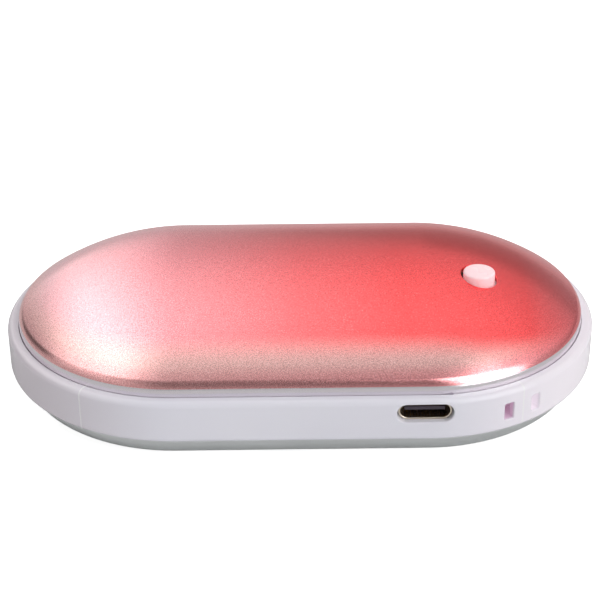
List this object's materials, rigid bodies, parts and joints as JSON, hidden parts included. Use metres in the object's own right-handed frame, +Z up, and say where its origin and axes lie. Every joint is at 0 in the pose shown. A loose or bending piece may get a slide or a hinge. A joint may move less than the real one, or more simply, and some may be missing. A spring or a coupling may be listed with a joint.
{
  "type": "rechargeable hand warmer",
  "caption": "Palm-sized rounded hand warmer: domed metal shells on a plastic mid frame, cells and film heaters inside, a push button on top, a charging socket and a lanyard eye.",
  "frame": {"origin": "middle of the flat foot, on the surface that the object rests on", "axes": "+Z up out of the domed top, +X along the length to the button end, and the charging socket faces -Y"},
  "size_m": [0.1044, 0.062, 0.026],
  "materials": {
    "rose_shell": "anodised, fine blasted, soft sheen",
    "silver_shell": "anodised, fine blasted",
    "frame_plastic": "smooth gloss",
    "adhesive": "clear bond line",
    "heater_film": "amber film",
    "heater_track": "etched foil",
    "foam": "fine open foam",
    "inner_plastic": "satin moulding",
    "screw_steel": "zinc plated",
    "cell_can": "bright plated can",
    "cell_sleeve": "shrunk sleeve",
    "fibre_ring": "pressed paper",
    "nickel_strip": "plain nickel",
    "red_wire": "soft jacket",
    "black_wire": "soft jacket",
    "white_wire": "soft jacket",
    "board_laminate": "solder mask",
    "socket_metal": "plated steel",
    "socket_plastic": "moulded insert",
    "gold_contact": "gold flash",
    "switch_plastic": "moulded body",
    "switch_metal": "plated steel",
    "button_plastic": "clouded, lets light through",
    "led": "clear lens over phosphor",
    "chip_body": "moulded package",
    "coil_body": "pressed ferrite",
    "capacitor_body": "fired ceramic",
    "resistor_body": "coated ceramic",
    "thermistor_body": "dipped bead on a jacketed pair"
  },
  "bodies": {
    "housing": {"top_shell": "rose_shell", "bottom_shell": "silver_shell", "mid_frame": "frame_plastic", "top_adhesive_ring": "adhesive", "bottom_adhesive_ring": "adhesive", "top_heater_film": "heater_film", "top_heater_track": "heater_track", "bottom_heater_film": "heater_film", "bottom_heater_track": "heater_track", "top_foam_pad": "foam", "bottom_foam_pad": "foam", "cell_cradle": "inner_plastic", "cell_straps": "inner_plastic", "chassis_screws": "screw_steel", "front_cell": "cell_can", "rear_cell": "cell_can", "front_cell_sleeve": "cell_sleeve", "rear_cell_sleeve": "cell_sleeve", "cell_insulator_rings": "fibre_ring", "positive_strip": "nickel_strip", "negative_strip": "nickel_strip", "positive_lead": "red_wire", "negative_lead": "black_wire", "circuit_board": "board_laminate", "board_screws": "screw_steel", "usb_c_shell": "socket_metal", "usb_c_tongue": "socket_plastic", "usb_c_contacts": "gold_contact", "switch_base": "switch_plastic", "switch_cover": "switch_metal", "switch_dome": "switch_metal", "switch_legs": "switch_metal", "button_bracket": "inner_plastic", "status_leds": "led", "control_chip": "chip_body", "charger_chip": "chip_body", "power_inductor": "coil_body", "heater_mosfets": "chip_body", "chip_capacitors": "capacitor_body", "chip_resistors": "resistor_body", "top_heater_leads": "white_wire", "bottom_heater_leads": "white_wire", "top_thermistor": "thermistor_body", "bottom_thermistor": "thermistor_body"},
    "power_button": {"button_cap": "button_plastic"},
    "plunger": {"switch_plunger": "switch_plastic"}
  },
  "joints": [
    {"name": "button_press", "type": "slide", "parent": "housing", "child": "power_button", "axis": [0, 0, -1], "range_m": [0, 0.0003], "stiffness_N_per_m": 5000},
    {"name": "plunger_press", "type": "slide", "parent": "housing", "child": "plunger", "axis": [0, 0, -1], "range_m": [0, 0.0003], "stiffness_N_per_m": 100, "deforming": ["switch_dome"]}
  ],
  "couplings": [
    {"joint": "plunger_press", "follows": "button_press", "ratio": 1}
  ]
}
